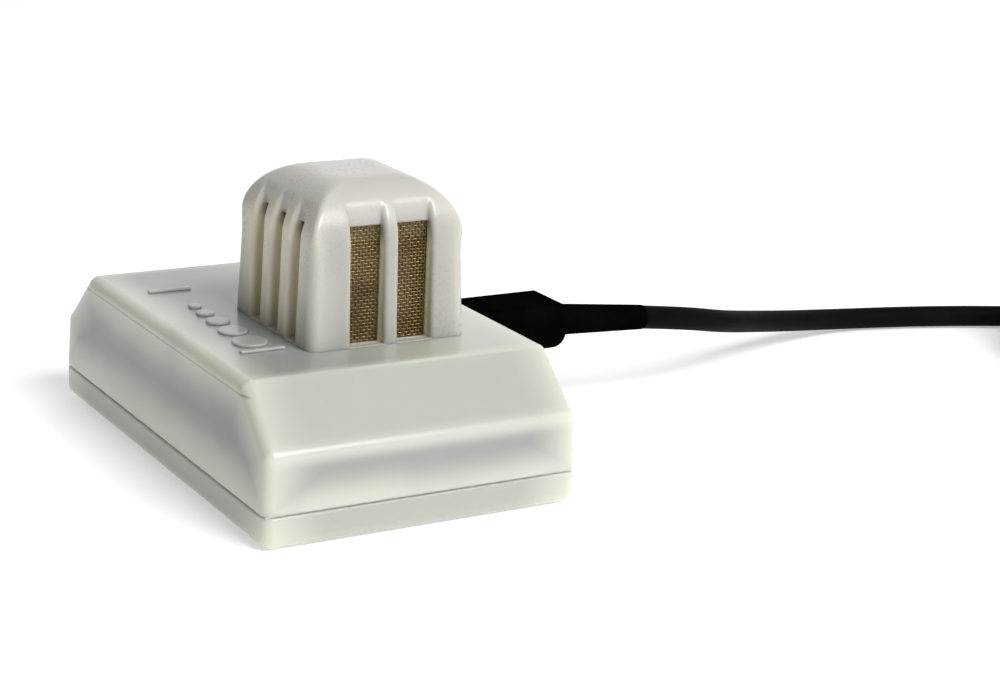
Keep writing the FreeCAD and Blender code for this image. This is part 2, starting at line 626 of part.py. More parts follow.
# ----------------------------------------------- socket in the end wall
nz = lead_z + 0.4                          # centre height of socket and nose
k0 = box("socket_blank", 17.4, 22.0, -6.2, 6.2, bt, nz + 3.8)
k1 = box("socket_mouth", nose_xa - 0.3, 30, -nose_wid / 2 - 0.3, nose_wid / 2 + 0.3, nz - nose_high / 2 - 0.3, nz + nose_high / 2 + 0.3)
pin_y = [-2.7, -0.9, 0.9, 2.7]
seats = [box("pin_seat_x%d" % i, 17.53, 19.0, y - 0.32, y + 0.32, nz - 0.32, nz + 0.32) for i, y in enumerate(pin_y)]
seats += [box("pin_seat_z%d" % i, 17.53, 18.17, y - 0.32, y + 0.32, bt - 1, nz) for i, y in enumerate(pin_y)]
node(cut("socket", k0, k1, *seats), "cable_socket")
# square pins, bent down inside the socket's back wall to the board
pins = []
for i, y in enumerate(pin_y):
    pins.append(fuse("pin%d" % i, box("pin_straight%d" % i, 17.55, 22.0, y - 0.3, y + 0.3, nz - 0.3, nz + 0.3),
                     box("pin_foot%d" % i, 17.55, 18.15, y - 0.3, y + 0.3, bt, nz)))
node(group("pin_set", pins), "socket_pins")
w0 = box("seal_out", 22.0, hx - wall - dx_top, -6.2, 6.2, nz - 3.8, nz + 3.8)
w1 = box("seal_in", 21, 24, -nose_wid / 2 - 0.4, nose_wid / 2 + 0.4, nz - nose_high / 2 - 0.4, nz + nose_high / 2 + 0.4)
node(cut("socket_seal_ring", w0, w1), "socket_seal")

# ------------------------------------- plain raised marks beside the cap
def mark_edges(p, d, e):
    return p.z > top_z.v + 0.4


marks = []
mark_xa, mark_xb = -19.3, -12.5
for i, y in enumerate((-17.5, 16.9)):
    marks.append(soften("mark_bar%d" % i, box("mark_bar_blank%d" % i, mark_xa, mark_xb, y - 0.45, y + 0.45, top_z, top_z + 0.45), 0.2, mark_edges))
# five plain discs, growing along the row
for i, (y, r) in enumerate(((-13.2, 2.6), (-7.2, 2.2), (-1.8, 1.8), (2.9, 1.4), (6.9, 1.0))):
    marks.append(soften("mark_disc%d" % i, cyl("mark_disc_blank%d" % i, -15.9, y, top_z, r, 0.45), 0.2, mark_edges))
node(group("mark_set", marks), "raised_marks")

# -------------------------------------------------------- plug on the lead
pb = new_body("PlugBootBody")
p1 = outline(pb, "boot_section", "YZ_Plane", [[(-boot_wid / 2, boot_low), (boot_wid / 2, boot_low),
                                              (boot_wid / 2, boot_high), (-boot_wid / 2, boot_high)]], offset=boot_xa)
pad(pb, p1, boot_xb - boot_xa)
body_fillet(pb, 2.4, lambda p, d, e: abs(p.x - boot_xb.v) < 0.01 and abs(d.y) > 0.9 and p.z < lead_z.v, "boot_heel")
body_fillet(pb, 0.7, lambda p, d, e: (abs(d.x) > 0.9) or (abs(p.x - boot_xb.v) < 0.05 and p.z > boot_low.v + 2.0), "boot_edges")
node(pb, "cable_plug")
nose = box("nose_blank", nose_xa, boot_xa, -nose_wid / 2, nose_wid / 2, nz - nose_high / 2, nz + nose_high / 2)
nose = soften("nose_soft", nose, 0.6, lambda p, d, e: abs(d.x) > 0.9)
node(cut("nose", nose, *[cyl("nose_hole%d" % i, nose_xa - 1, y, nz, 0.75, 6.0, "x") for i, y in enumerate(pin_y)]), "plug_nose")
sleeves = []
for i, y in enumerate(pin_y):
    sleeves.append(cut("sleeve%d" % i, cyl("sleeve_out%d" % i, nose_xa + 0.1, y, nz, 0.73, 4.8, "x"),
                       cyl("sleeve_in%d" % i, nose_xa - 1, y, nz, 0.5, 5.2, "x")))
node(group("sleeve_set", sleeves), "plug_contacts")

# ---------------------------------------------------------------- the lead
R = cable_d.v / 2
drop = 4.6                                  # the relief droops by this angle
relief_len = 18.0
rx = boot_xb.v + relief_len * math.cos(math.radians(drop))
rz = lead_z.v - relief_len * math.sin(math.radians(drop))
rel = doc.addObject("Part::Cone", "relief_cone")
bind(rel, "Radius1", relief_d / 2 + 0.1)
bind(rel, "Radius2", cable_d / 2 + 0.12)
rel.Height = relief_len
rel.Placement = Placement(Vector(0, 0, 0), Rotation(Vector(0, 1, 0), 90 + drop))
place(rel, boot_xb - 0.15, 0, lead_z)
rel_cut = box("relief_square", boot_xb - 3, boot_xb, -10, 10, 0, 30)
node(cut("relief", rel, rel_cut), "strain_relief")

CX, CY = coil_x.v, coil_y.v
CM = coil_mid.v
D = cable_d.v
z1 = coil_low.v + R
z_top = z1 + (coil_rows.v - 1) * D
turn_out = CM + D


def on_coil(angle, rad):
    a = math.radians(angle)
    return CX + rad * math.cos(a), CY + rad * math.sin(a)


ux, uy = math.cos(math.radians(drop)), -math.sin(math.radians(drop))
ex, ey = on_coil(60.6, turn_out)
LEAD = [
    (rx - 0.35, 0.0, rz + 0.02),
    (70.5, 0.3, 12.85),
    (81.5, 4.2, 10.0),
    (93.0, 10.5, 7.1),
    (106.0, 16.2, 4.3),
    (121.0, 20.4, R),
    (136.5, 16.4, R),
    (151.4, 10.9, R),
    (165.0, 3.6, R + 0.15),
    (ex, ey, z1),
]
tx, ty = on_coil(20.0, turn_out)
TAIL = [
    (tx, ty, z_top),
    (194.2, -27.4, z_top - 0.6),
    (195.4, -37.6, 11.6),
    (193.0, -47.4, 9.1),
    (187.2, -55.6, 6.8),
    (179.0, -61.3, 5.1),
    (169.4, -63.9, 4.4),
    (jack_x.v + 0.1, jack_y.v, jack_z.v),
]


def tube(name, pts, rad, dia):
    """Straight runs joined by tangent arcs; prints each radius and checks the volume."""
    pts = [Vector(*p) for p in pts]
    edges = []
    start = pts[0]
    radii = []
    for i in range(1, len(pts) - 1):
        a, b, c = pts[i - 1], pts[i], pts[i + 1]
        u = (b - a).normalize()
        w = (c - b).normalize()
        turn = u.getAngle(w)
        run = min((b - a).Length, (c - b).Length)
        r = 0.45 * run / math.tan(turn / 2.0)
        back = 0.45 * run
        p0 = b - u * back
        p1 = b + w * back
        bis = (w - u).normalize()
        mid = b + bis * (r / math.cos(turn / 2.0) - r)
        edges.append(Part.LineSegment(start, p0).toShape())
        edges.append(Part.Arc(p0, mid, p1).toShape())
        start = p1
        radii.append(round(r, 1))
    edges.append(Part.LineSegment(start, pts[-1]).toShape())
    wire = Part.Wire(edges)
    first = (pts[1] - pts[0]).normalize()
    ring = Part.Wire([Part.Circle(pts[0], first, rad).toShape()])
    solid = wire.makePipeShell([ring], True, False)
    want = math.pi * rad * rad * wire.Length
    print(name, "arc radii", radii, "length %.1f" % wire.Length, "volume ratio %.4f" % (solid.Volume / want))
    o = doc.addObject("Part::Feature", name)
    o.Shape = solid
    o.Placement = Placement()
    return o, wire.Length


lead, lead_len = tube("lead_tube", LEAD, R, D)
node(lead, "cable")
tail, tail_len = tube("tail_tube", TAIL, R, D)
node(tail, "cable_tail")
coil_out = cyl("coil_out", coil_x, coil_y, coil_low, coil_mid + cable_d * 1.5, cable_d * coil_rows)
coil_in = cyl("coil_in", coil_x, coil_y, coil_low - 1, coil_mid - cable_d * 1.5, cable_d * coil_rows + 2)
coil = cut("coil_ring", coil_out, coil_in)
coil = soften("coil_soft", coil, 1.8, lambda p, d, e: abs(d.z) < 0.01 and e.Length > 20)
node(coil, "cable_coil")
coiled = 11.11 * 2 * math.pi * CM
print("coiled length about %.0f, total about %.0f" % (coiled, coiled + lead_len + tail_len))
# strap round the coil's section, at the side away from the housing
strap_turn = -50.0
strap_w = 8.0
strap = doc.addObject("Part::Box", "strap_blank")
bind(strap, "Length", cable_d * 3 + 1.5)
strap.Width = strap_w
bind(strap, "Height", cable_d * coil_rows + coil_low + 0.6)
sa = math.radians(strap_turn)
sr = CM - 1.5 * D - 0.9
strap.Placement = Placement(Vector(CX + sr * math.cos(sa) + strap_w / 2 * math.sin(sa), CY + sr * math.sin(sa) - strap_w / 2 * math.cos(sa), 0),
                            Rotation(Vector(0, 0, 1), strap_turn))
strap = soften("strap_soft", strap, 1.6, lambda p, d, e: abs(d.z) < 0.01 and e.Length < 9 and abs(e.Length - strap_w) < 0.01)
node(cut("strap", strap, coil), "coil_tie")

# ------------------------------------------------------ jack at the far end
jl = 12.0
node(cone("jack_relief_cone", jack_x - jl, jack_y, jack_z, 3.2, cable_d / 2 + 0.12, jl, "x"), "jack_relief")
jb = cyl("jack_grip", jack_x - jl - 16, jack_y, jack_z, 4.5, 16, "x")
jb = soften("jack_grip_soft", jb, 0.8, lambda p, d, e: abs(d.x) < 0.1 and e.Length > 5)
node(jb, "jack_body")
j1 = jack_x - jl - 16
node(cyl("jack_sleeve_rod", j1 - 5.2, jack_y, jack_z, 1.75, 5.2, "x"), "jack_sleeve")
node(group("jack_insulator_set", [cyl("jack_ins_a", j1 - 6.0, jack_y, jack_z, 1.75, 0.8, "x"),
                                  cyl("jack_ins_b", j1 - 9.0, jack_y, jack_z, 1.75, 0.8, "x")]), "jack_insulators")
node(cyl("jack_ring_rod", j1 - 8.2, jack_y, jack_z, 1.75, 2.2, "x"), "jack_ring")
node(fuse("jack_tip_rod", cone("jack_tip_neck", j1 - 11.6, jack_y, jack_z, 1.2, 1.75, 2.6, "x"),
          cone("jack_tip_nose", j1 - 14.0, jack_y, jack_z, 0.45, 1.6, 1.6, "x"),
          cyl("jack_tip_ball", j1 - 12.4, jack_y, jack_z, 1.6, 0.8, "x")), "jack_tip")

# ------------------------------------------------------------ check and write
doc.recompute()
bad = []
for o in doc.Objects:
    if any(s in ("Invalid", "Error") for s in o.State):
        bad.append((o.Name, o.State))
for o in NODES:
    if o.Shape.isNull() or not o.Shape.isValid() or o.Shape.Volume <= 0:
        bad.append((o.Label, "shape"))
if bad:
    raise RuntimeError("failed objects: %s" % bad)
os.makedirs("parts", exist_ok=True)
for o in NODES:
    o.Shape.exportStep("parts/%s.step" % o.Label)
    b = o.Shape.BoundBox
    print("%-22s solids %2d vol %9.1f  x %7.2f %7.2f  y %7.2f %7.2f  z %6.2f %6.2f" % (
        o.Label, len(o.Shape.Solids), o.Shape.Volume, b.XMin, b.XMax, b.YMin, b.YMax, b.ZMin, b.ZMax))
print(len(NODES), "nodes")
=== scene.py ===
import math
import random
import bpy
import bmesh
import numpy as np
from mathutils import Matrix, Vector


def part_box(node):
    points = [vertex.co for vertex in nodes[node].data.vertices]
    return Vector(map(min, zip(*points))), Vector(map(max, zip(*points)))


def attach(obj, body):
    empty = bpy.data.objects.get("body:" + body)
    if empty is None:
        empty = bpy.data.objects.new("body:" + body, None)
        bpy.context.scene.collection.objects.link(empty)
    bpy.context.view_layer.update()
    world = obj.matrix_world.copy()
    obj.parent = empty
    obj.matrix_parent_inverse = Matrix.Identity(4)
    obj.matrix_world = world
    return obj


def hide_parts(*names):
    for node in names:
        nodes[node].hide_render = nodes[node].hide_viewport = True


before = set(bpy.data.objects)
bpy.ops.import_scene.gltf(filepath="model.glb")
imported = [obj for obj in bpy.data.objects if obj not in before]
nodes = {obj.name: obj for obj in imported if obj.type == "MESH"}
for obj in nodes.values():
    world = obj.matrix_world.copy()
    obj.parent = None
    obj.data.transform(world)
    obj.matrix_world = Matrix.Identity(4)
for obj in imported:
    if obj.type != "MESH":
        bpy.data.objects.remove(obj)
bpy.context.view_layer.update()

random.seed(7)
MM = 0.001
scene = bpy.context.scene
ROOT, LEADB = "sensor", "plug_lead"


# ------------------------------------------------------------------ camera
def make_camera():
    yaw, pitch, roll = -0.5412, 0.2872, 0.0468
    back = Vector((math.sin(yaw) * math.cos(pitch), -math.cos(yaw) * math.cos(pitch), math.sin(pitch)))
    x = Vector((0, 0, 1)).cross(back).normalized()
    y = back.cross(x)
    x2 = x * math.cos(roll) + y * math.sin(roll)
    y2 = y * math.cos(roll) - x * math.sin(roll)
    data = bpy.data.cameras.new("view_camera")
    data.sensor_fit = "HORIZONTAL"
    data.sensor_width = 36.0
    data.lens = 81.167
    data.shift_x = 0.0069
    data.shift_y = -0.0054
    data.clip_start = 0.01
    data.clip_end = 20
    cam = bpy.data.objects.new("view_camera", data)
    scene.collection.objects.link(cam)
    loc = (-0.146146, -0.297851, 0.115816)
    m = Matrix((
        (x2.x, y2.x, back.x, loc[0]),
        (x2.y, y2.y, back.y, loc[1]),
        (x2.z, y2.z, back.z, loc[2]),
        (0, 0, 0, 1)))
    cam.matrix_world = m
    scene.camera = cam


make_camera()
scene.view_settings.view_transform = "Standard"
scene.view_settings.look = "None"


# ------------------------------------------------------- node-tree helpers
class Tree:
    """Short calls for building a material's nodes."""

    def __init__(self, name):
        self.mat = bpy.data.materials.new(name)
        self.mat.use_nodes = True
        self.nt = self.mat.node_tree
        self.nt.nodes.clear()
        self.out = self.nt.nodes.new("ShaderNodeOutputMaterial")
        self.bsdf = self.nt.nodes.new("ShaderNodeBsdfPrincipled")
        self.nt.links.new(self.bsdf.outputs[0], self.out.inputs[0])

    def node(self, kind, **props):
        n = self.nt.nodes.new(kind)
        for k, v in props.items():
            setattr(n, k, v)
        return n

    def put(self, sock, v):
        if isinstance(v, bpy.types.NodeSocket):
            self.nt.links.new(v, sock)
        elif v is not None:
            sock.default_value = v

    def coord(self):
        if not hasattr(self, "_co"):
            self._co = self.node("ShaderNodeTexCoord").outputs["Object"]
        return self._co

    def math(self, op, a, b=None, clamp=False):
        n = self.node("ShaderNodeMath", operation=op)
        n.use_clamp = clamp
        self.put(n.inputs[0], a)
        if b is not None:
            self.put(n.inputs[1], b)
        return n.outputs[0]

    def ramp(self, v, lo, hi, a=0.0, b=1.0, smooth=True):
        n = self.node("ShaderNodeMapRange", interpolation_type="SMOOTHSTEP" if smooth else "LINEAR")
        self.put(n.inputs["Value"], v)
        n.inputs["From Min"].default_value = lo
        n.inputs["From Max"].default_value = hi
        n.inputs["To Min"].default_value = a
        n.inputs["To Max"].default_value = b
        return n.outputs[0]

    def noise(self, scale, detail=3.0, rough=0.5, stretch=None, distortion=0.0):
        n = self.node("ShaderNodeTexNoise")
        n.inputs["Scale"].default_value = scale
        n.inputs["Detail"].default_value = detail
        n.inputs["Roughness"].default_value = rough
        n.inputs["Distortion"].default_value = distortion
        co = self.coord()
        if stretch:
            mp = self.node("ShaderNodeMapping")
            mp.inputs["Scale"].default_value = stretch
            self.put(mp.inputs["Vector"], co)
            co = mp.outputs[0]
        self.put(n.inputs["Vector"], co)
        return n.outputs[0]

    def mix(self, f, a, b, kind="MIX"):
        n = self.node("ShaderNodeMix", data_type="RGBA", blend_type=kind)
        self.put(n.inputs[0], f)
        self.put(n.inputs[6], (*a, 1) if isinstance(a, tuple) else a)
        self.put(n.inputs[7], (*b, 1) if isinstance(b, tuple) else b)
        return n.outputs[2]

    def bump(self, height, strength, distance, normal=None):
        n = self.node("ShaderNodeBump")
        n.inputs["Strength"].default_value = strength
        n.inputs["Distance"].default_value = distance
        self.put(n.inputs["Height"], height)
        if normal is not None:
            self.put(n.inputs["Normal"], normal)
        return n.outputs[0]

    def set(self, **kw):
        for k, v in kw.items():
            s = self.bsdf.inputs[k.replace("_", " ")]
            if isinstance(v, tuple) and len(v) == 3 and s.type == "RGBA":
                v = (*v, 1)
            self.put(s, v)
        return self


def axes(t):
    s = t.node("ShaderNodeSeparateXYZ")
    t.put(s.inputs[0], t.coord())
    return s.outputs


# --------------------------------------------------------------- materials
def moulded(name, core, rim_glow, hx, hy, low, high, cy=0.0, cx=0.0, slope=None, rough=0.3, reach=0.008, grain=0.15, gloss_noise=0.04, inner_brass_glow=None,
            depth=0.0035, ends_only=False, crown_light=None, shade_line_z=None, side=None, top=None):
    """Translucent moulded plastic: the middle of each face keeps the darker core colour, and the edges are painted
    paler, a painted glow standing in for light through the thin edges.
    """
    t = Tree(name)
    x, y, z = axes(t)
    ax = t.math("SUBTRACT", hx, t.math("ABSOLUTE", t.math("SUBTRACT", x, cx)))
    ay = t.math("SUBTRACT", hy, t.math("ABSOLUTE", t.math("SUBTRACT", y, cy)))
    az = t.math("MINIMUM", t.math("SUBTRACT", high, z), t.math("SUBTRACT", z, low))
    zlow = t.math("SUBTRACT", z, low)
    pairs = t.math("MAXIMUM", ax, ay)
    if not ends_only:
        pairs = t.math("MINIMUM", pairs, t.math("MAXIMUM", ax, az))
        pairs = t.math("MINIMUM", pairs, t.math("MULTIPLY", t.math("MAXIMUM", ay, zlow), 1.5))
    if slope:
        (y0, z0), (y1, z1) = slope
        n = Vector((z1 - z0, y0 - y1)).normalized()
        # distance inside the sloping face
        yy = t.math("ABSOLUTE", t.math("SUBTRACT", y, cy))
        d = t.math("SUBTRACT", n.x * y0 + n.y * z0, t.math("ADD", t.math("MULTIPLY", yy, n.x), t.math("MULTIPLY", z, n.y)))
        pairs = t.math("MINIMUM", pairs, t.math("MAXIMUM", ax, d))
    if side:
        # the faces across x get a painted colour of their own: painted shade on the housing, painted warm light on
        # the cap
        core = t.mix(t.ramp(ax, 0.0004, 0.0024, 1.0, 0.0), core, side)
    # painted light: the top face is painted paler, fading out towards -x
    if top:
        core = t.mix(t.math("MULTIPLY", t.ramp(z, high - 0.0005, high - 0.0002, 0.0, 1.0), t.ramp(x, -0.014, 0.006, 0.0, 1.0)), core, top)
    # painted light: the sloping face is painted part way towards the paler rim colour
    if slope:
        core = t.mix(t.math("MULTIPLY", t.ramp(d, 0.0002, 0.0016, 0.46, 0.0), t.ramp(ax, 0.0002, 0.0012)), core, rim_glow)
    wob = t.ramp(t.noise(45, 2), 0.3, 0.7, -0.0008, 0.0008)
    # painted glow: each face is painted towards the paler rim colour near its edges
    rim_glow_mask = t.ramp(t.math("ADD", pairs, wob), -0.0005, reach, 1.0, 0.0)
    base = t.mix(rim_glow_mask, core, rim_glow)
    if slope:
        # painted highlight along the obtuse corner between slope and end wall
        base = t.mix(t.ramp(t.math("MAXIMUM", ay, d), 0.0001, 0.0018, 0.5, 0.0), base, (0.66, 0.69, 0.62))
    # painted light: the top of the part is painted paler towards the crown
    if crown_light:
        base = t.mix(t.ramp(z, high - 0.009, high - 0.002, 0.0, 1.0), base, crown_light)
    cloud = t.ramp(t.noise(28, 2, 0.5), 0.3, 0.7, 0.0, 1.0)
    base = t.mix(t.math("MULTIPLY", cloud, 0.3), base, t.mix(0.09, base, (0.35, 0.36, 0.42)))
    # painted reflection of the brass screen: the cap's inner walls below the window tops are painted bright warm;
    # just under the window tops a warm brown band is mixed in
    if inner_brass_glow:
        deep = t.math("MULTIPLY", t.ramp(ax, 0.0005, 0.0018), t.ramp(ay, 0.0005, 0.0018))
        base = t.mix(t.math("MULTIPLY", deep, t.math("MULTIPLY", t.ramp(z, 0.0365, 0.0382, 0.0, 0.5), t.ramp(z, 0.0386, 0.0394, 1.0, 0.0))), base, (0.50, 0.43, 0.33))
        base = t.mix(t.math("MULTIPLY", deep, t.ramp(z, 0.0355, 0.0385, 1.0, 0.0)), base, inner_brass_glow)
    if shade_line_z:
        # painted shade: a fine dark line under the rounded top edge of the end faces
        band = t.ramp(t.math("ABSOLUTE", t.math("SUBTRACT", z, shade_line_z)), 0.00004, 0.00026, 0.5, 0.0)
        base = t.mix(t.math("MULTIPLY", band, t.ramp(ax, 0.0006, 0.0012, 1.0, 0.0)), base, (0.14, 0.14, 0.11))
    # scattered specks of grit on the surface
    v = t.node("ShaderNodeTexVoronoi", feature="F1")
    v.inputs["Scale"].default_value = 130
    t.put(v.inputs["Vector"], t.coord())
    rare = t.ramp(t.noise(60, 1), 0.66, 0.72, 0.0, 1.0)
    speck = t.math("MULTIPLY", t.ramp(v.outputs["Distance"], 0.035, 0.06, 0.15 if inner_brass_glow else 0.5, 0.0), rare)
    base = t.mix(speck, base, (0.12, 0.12, 0.10))
    fine = t.noise(2600, 2)
    haze = t.noise(70, 4, 0.55)
    r = t.ramp(t.math("ADD", t.math("MULTIPLY", fine, 0.5), t.math("MULTIPLY", haze, 0.5)), 0.0, 1.0, rough - gloss_noise, rough + gloss_noise, False)
    b1 = t.bump(fine, grain, 0.00002)
    t.set(Base_Color=base, Roughness=r, Normal=b1, Subsurface_Weight=1.0, Subsurface_Radius=(1.0, 0.92, 0.66), Subsurface_Scale=depth,
          IOR=1.49, Specular_IOR_Level=0.5)
    t.bsdf.subsurface_method = "RANDOM_WALK"
    return t.mat


def black_moulding(name, col=(0.0016, 0.0016, 0.0015), rough=0.7, scale=900, strength=0.25, spec=0.0):
    t = Tree(name)
    n1 = t.noise(scale, 3, 0.6)
    n2 = t.noise(90, 4, 0.6)
    c = t.mix(t.ramp(n2, 0.35, 0.7), col, tuple(min(1, k * 1.5 + 0.0005) for k in col))
    r = t.ramp(n2, 0.3, 0.7, rough - 0.07, rough + 0.09)
    t.set(Base_Color=c, Roughness=r, Normal=t.bump(n1, strength, 0.00006), IOR=1.5, Specular_IOR_Level=spec)
    return t.mat


def metal(name, col, rough=0.25, scale=(1, 1, 20), amount=0.3, tarnish=None, noise_scale=400):
    t = Tree(name)
    n = t.noise(noise_scale, 3, 0.6, stretch=scale)
    n2 = t.noise(160, 3)
    c = t.mix(t.ramp(n2, 0.35, 0.75), col, tarnish or tuple(k * 0.75 for k in col))
    t.set(Base_Color=c, Metallic=1.0, Roughness=t.ramp(n, 0.3, 0.7, rough - 0.08, rough + 0.12), Normal=t.bump(n, amount, 0.00002))
    return t.mat


def plain_plastic(name, col, rough=0.5, alt=None, scale=300, strength=0.2, dist=0.00004):
    t = Tree(name)
    n = t.noise(scale, 4, 0.6)
    n2 = t.noise(scale * 6, 2)
    c = t.mix(t.ramp(n, 0.3, 0.75), col, alt or tuple(k * 0.82 for k in col))
    t.set(Base_Color=c, Roughness=t.ramp(n, 0.3, 0.7, rough - 0.06, rough + 0.08), Normal=t.bump(n2, strength, dist))
    return t.mat


# the rim colours are painted glow for the paler edges of the translucent plastic
HOUSE_CORE, HOUSE_RIM_GLOW = (0.355, 0.378, 0.355), (0.65, 0.67, 0.57)
CAP_CORE, CAP_RIM_GLOW = (0.43, 0.425, 0.39), (0.54, 0.53, 0.485)
m_house = moulded("housing_ivory", HOUSE_CORE, HOUSE_RIM_GLOW, 0.0248, 0.0384, 0.0049, 0.0218, slope=((0.0383, 0.0135), (0.02945, 0.0218)), rough=0.24, reach=0.0085, shade_line_z=0.0198, side=(0.24, 0.25, 0.228), top=(0.52, 0.54, 0.455))
m_base = moulded("base_ivory", (0.46, 0.475, 0.42), HOUSE_RIM_GLOW, 0.025, 0.0386, 0.0, 0.0047, rough=0.3, reach=0.010, ends_only=True)
m_plate = moulded("plate_ivory", (0.43, 0.45, 0.39), (0.51, 0.52, 0.43), 0.0037, 0.0182, 0.0, 0.0224, cx=-0.0159, cy=-0.0004, rough=0.22, reach=0.002)
m_cap = moulded("cap_pinkish", CAP_CORE, CAP_RIM_GLOW, 0.0125, 0.0129, 0.0, 0.0454, cx=0.00258, cy=-0.0079, rough=0.28, reach=0.005, inner_brass_glow=(1.0, 0.92, 0.68), depth=0.0025, crown_light=(0.585, 0.562, 0.52), side=(0.72, 0.66, 0.55))
m_black = black_moulding("plug_black")
m_jacket = black_moulding("jacket_black", (0.0035, 0.0035, 0.0035), 0.55, 1400, 0.3, 0.02)
m_seal = black_moulding("seal_grey", (0.22, 0.23, 0.20), 0.6, 700, 0.3, 0.3)
# the gasket is painted paler than the housing, partly its own colour and partly painted light that lifts the shade
# in the narrow seam
m_gasket = plain_plastic("gasket_pale", (0.86, 0.85, 0.72), 0.5, (0.76, 0.74, 0.62))
m_socket = black_moulding("socket_black", (0.03, 0.03, 0.032), 0.45, 600, 0.2, 0.3)
m_ins = black_moulding("insulator_black", (0.02, 0.02, 0.02), 0.35, 900, 0.1, 0.4)
m_screw = metal("zinc_screw", (0.62, 0.62, 0.6), 0.3)
m_probe = metal("probe_steel", (0.66, 0.66, 0.67), 0.2)
m_can = metal("can_metal", (0.72, 0.72, 0.73), 0.3)
m_contact = metal("contact_gold", (0.83, 0.62, 0.26), 0.25)
m_jack = metal("jack_nickel", (0.74, 0.72, 0.68), 0.16, (20, 1, 1), 0.15)
m_brass = metal("screen_brass", (0.31, 0.225, 0.10), 0.44, (1, 1, 1), 0.3, tarnish=(0.16, 0.105, 0.045), noise_scale=1500)
m_carrier = plain_plastic("carrier_cream", (0.55, 0.52, 0.46), 0.5)
m_block = plain_plastic("porous_block", (0.72, 0.68, 0.6), 0.85, (0.55, 0.52, 0.45), 900, 0.8, 0.0002)
m_board = plain_plastic("board_green", (0.02, 0.13, 0.055), 0.35, (0.03, 0.2, 0.08), 500, 0.3)
m_chip = plain_plastic("chip_black", (0.02, 0.02, 0.022), 0.5)
m_res = plain_plastic("resistor_dark", (0.1, 0.09, 0.08), 0.5)


def glass():
    t = Tree("bead_glass")
    n = t.noise(500, 2)
    t.set(Base_Color=t.mix(t.ramp(n, 0.3, 0.7), (0.75, 0.8, 0.7), (0.6, 0.66, 0.55)), Roughness=t.ramp(n, 0.3, 0.7, 0.04, 0.12),
          Transmission_Weight=0.7, IOR=1.5)
    return t.mat


m_glass = glass()

NODE_MATS = {
    "top_housing": m_house, "base_plate": m_base, "raised_marks": m_plate, "housing_gasket": m_gasket, "cap_gasket": m_seal, "socket_seal": m_seal,
    "housing_screws": m_screw, "cap_screws": m_screw, "board_screws": m_screw, "screen_cage": m_carrier, "element_carrier": m_carrier,
    "sensing_block": m_block, "electrode_rods": m_probe, "temperature_bead": m_glass, "main_board": m_board, "board_header": m_chip,
    "controller_chip": m_chip, "amplifier_chip": m_chip, "timing_crystal": m_can, "smoothing_capacitors": m_can, "chip_resistors": m_res,
    "cable_socket": m_socket, "socket_pins": m_contact, "plug_contacts": m_contact, "plug_nose": m_socket, "cable_plug": m_black,
    "jack_sleeve": m_jack, "jack_ring": m_jack, "jack_tip": m_jack, "jack_insulators": m_ins, "vented_cap": m_cap, "mesh_screen": m_brass,
    "strain_relief": m_black, "jack_relief": m_black, "jack_body": m_black, "cable": m_jacket, "cable_tail": m_jacket, "cable_coil": m_jacket,
    "coil_tie": m_seal,
}
for name, o in nodes.items():
    o.data.materials.clear()
    o.data.materials.append(NODE_MATS[name])


def smooth(o, angle=35):
    for p in o.data.polygons:
        p.use_smooth = True
    bm = bmesh.new()
    bm.from_mesh(o.data)
    lim = math.radians(angle)
    for e in bm.edges:
        e.smooth = not (len(e.link_faces) == 2 and e.calc_face_angle(0) > lim)
    bm.to_mesh(o.data)
    bm.free()
    return o


def mesh_object(name, verts, faces, mat, body, node=None):
    me = bpy.data.meshes.new(name)
    me.from_pydata([tuple(v) for v in verts], [], faces)
    me.update()
    o = bpy.data.objects.new(name, me)
    scene.collection.objects.link(o)
    me.materials.append(mat)
    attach(o, body)
    if node:
        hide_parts(*([node] if isinstance(node, str) else node))
    return o


# ------------------------------------------------------------------- cords
D = 3.9
R = D / 2
DROP = math.radians(4.6)
RELIEF = 18.0
LEAD_Z = 15.5
BOOT_X = 43.6
rx = BOOT_X + RELIEF * math.cos(DROP)
rz = LEAD_Z - RELIEF * math.sin(DROP)
CX, CY, CM, CLOW, ROWS = 166.0, -27.0, 22.0, 0.6, 4
ENTER = 60.6
OUTER, INNER = CM + D, CM - D
Z = [CLOW + R + i * D for i in range(ROWS)]
JACK = (159.4, -64.2, 4.5)


def on_coil(angle, rad):
    a = math.radians(angle)
    return CX + rad * math.cos(a), CY + rad * math.sin(a)


ex, ey = on_coil(ENTER, OUTER)
lead_points = [
    (rx - 0.15, 0.0, rz + 0.0),
    (70.5, 0.3, 12.85),
    (81.5, 4.2, 10.0),
    (93.0, 10.5, 7.1),
    (106.0, 16.2, 4.3),
    (121.0, 20.4, R),
    (136.5, 16.4, R),
    (151.4, 10.9, R),
    (165.0, 3.6, R + 0.15),
]
# turns of the coil: (degrees wound, radius, height); it steps in or out, or up a
# row, over a short way, and each row's steps come a little before the last row's
KEYS = [
    (0, OUTER, 0), (315, OUTER, 0), (360, CM, 0), (675, CM, 0), (720, INNER, 0), (990, INNER, 0), (1035, INNER, 1),
    (1305, INNER, 1), (1350, CM, 1), (1665, CM, 1), (1710, OUTER, 1), (1980, OUTER, 1), (2025, OUTER, 2),
    (2295, OUTER, 2), (2340, CM, 2), (2655, CM, 2), (2700, INNER, 2), (2970, INNER, 2), (3015, INNER, 3),
    (3285, INNER, 3), (3330, CM, 3), (3645, CM, 3), (3690, OUTER, 3), (4000.6, OUTER, 3),
]


